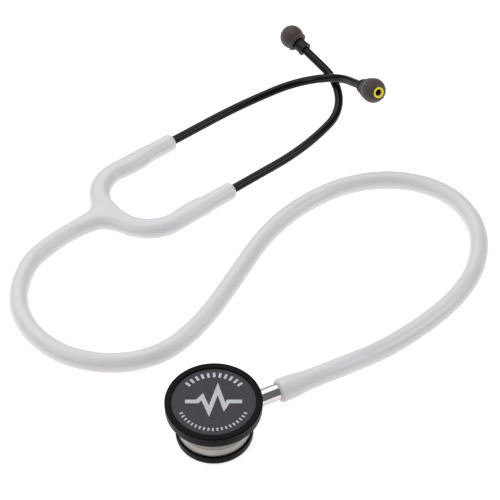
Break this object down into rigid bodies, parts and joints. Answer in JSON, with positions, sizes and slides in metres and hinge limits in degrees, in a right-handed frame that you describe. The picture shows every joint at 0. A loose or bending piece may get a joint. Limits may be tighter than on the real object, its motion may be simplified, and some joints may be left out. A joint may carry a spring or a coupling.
{
  "type": "stethoscope",
  "caption": "Dual-head stethoscope with a turning chestpiece, one thick hose, a moulded fork and a sprung headset that spreads; its soft ear tips pull off.",
  "frame": {"origin": "centre of the bell's mouth, in the plane of the bell ring's flat lower face, which stands on the table", "axes": "+X along the stem towards the hose, +Z from the bell side up to the diaphragm side, +Y towards the headset"},
  "size_m": [0.2503, 0.2595, 0.042],
  "materials": {
    "steel": "fine turned and brushed",
    "chrome": "polished",
    "spring_steel": "plain",
    "black_ring": "satin, fine grain",
    "diaphragm": "fine matt",
    "seal": "matt",
    "white_hose": "satin soft PVC",
    "black_tube": "glossy black",
    "black_collar": "satin gloss",
    "tip": "matt silicone",
    "yellow": "gloss"
  },
  "bodies": {
    "tubing": {"stem": "chrome", "stem_seal_rings": "seal", "stem_cuff": "white_hose", "main_tube": "white_hose", "yoke": "white_hose", "spring_bridge": "spring_steel"},
    "chestpiece": {"chestpiece_body": "steel", "diaphragm": "diaphragm", "diaphragm_rim": "black_ring", "diaphragm_seal": "seal", "bell_ring": "black_ring", "detent_ball": "spring_steel", "detent_spring": "spring_steel", "detent_screw": "spring_steel"},
    "left_ear": {"left_branch": "white_hose", "left_spring_arm": "spring_steel", "left_ear_tube": "black_tube", "left_collar": "black_collar"},
    "right_ear": {"right_branch": "white_hose", "right_spring_arm": "spring_steel", "right_ear_tube": "black_tube", "right_collar": "black_collar"},
    "left_tip": {"left_tip_core": "yellow", "left_ear_tip": "tip"},
    "right_tip": {"right_tip_core": "yellow", "right_ear_tip": "tip"}
  },
  "joints": [
    {"name": "chestpiece_turn", "type": "hinge", "parent": "tubing", "child": "chestpiece", "pos_m": [0, 0, 0.0124], "axis": [1, 0, 0], "continuous": true},
    {"name": "left_spread", "type": "hinge", "parent": "tubing", "child": "left_ear", "pos_m": [0.01312, 0.17396, 0.005], "axis": [0.1773, -0.7217, 0.6691], "range_deg": [0, 42], "stiffness_Nm_per_rad": 1.5},
    {"name": "right_spread", "type": "hinge", "parent": "tubing", "child": "right_ear", "pos_m": [0.02246, 0.13595, 0.005], "axis": [-0.0657, 0.2677, 0.9613], "range_deg": [-42, 0], "stiffness_Nm_per_rad": 1.5},
    {"name": "left_tip_pull", "type": "slide", "parent": "left_ear", "child": "left_tip", "axis": [0.0005, -0.9165, 0.4001], "range_m": [0, 0.008]},
    {"name": "right_tip_pull", "type": "slide", "parent": "right_ear", "child": "right_tip", "axis": [-0.2655, 0.9273, 0.2637], "range_m": [0, 0.008]}
  ],
  "couplings": [
    {"joint": "right_spread", "follows": "left_spread", "ratio": -1}
  ]
}
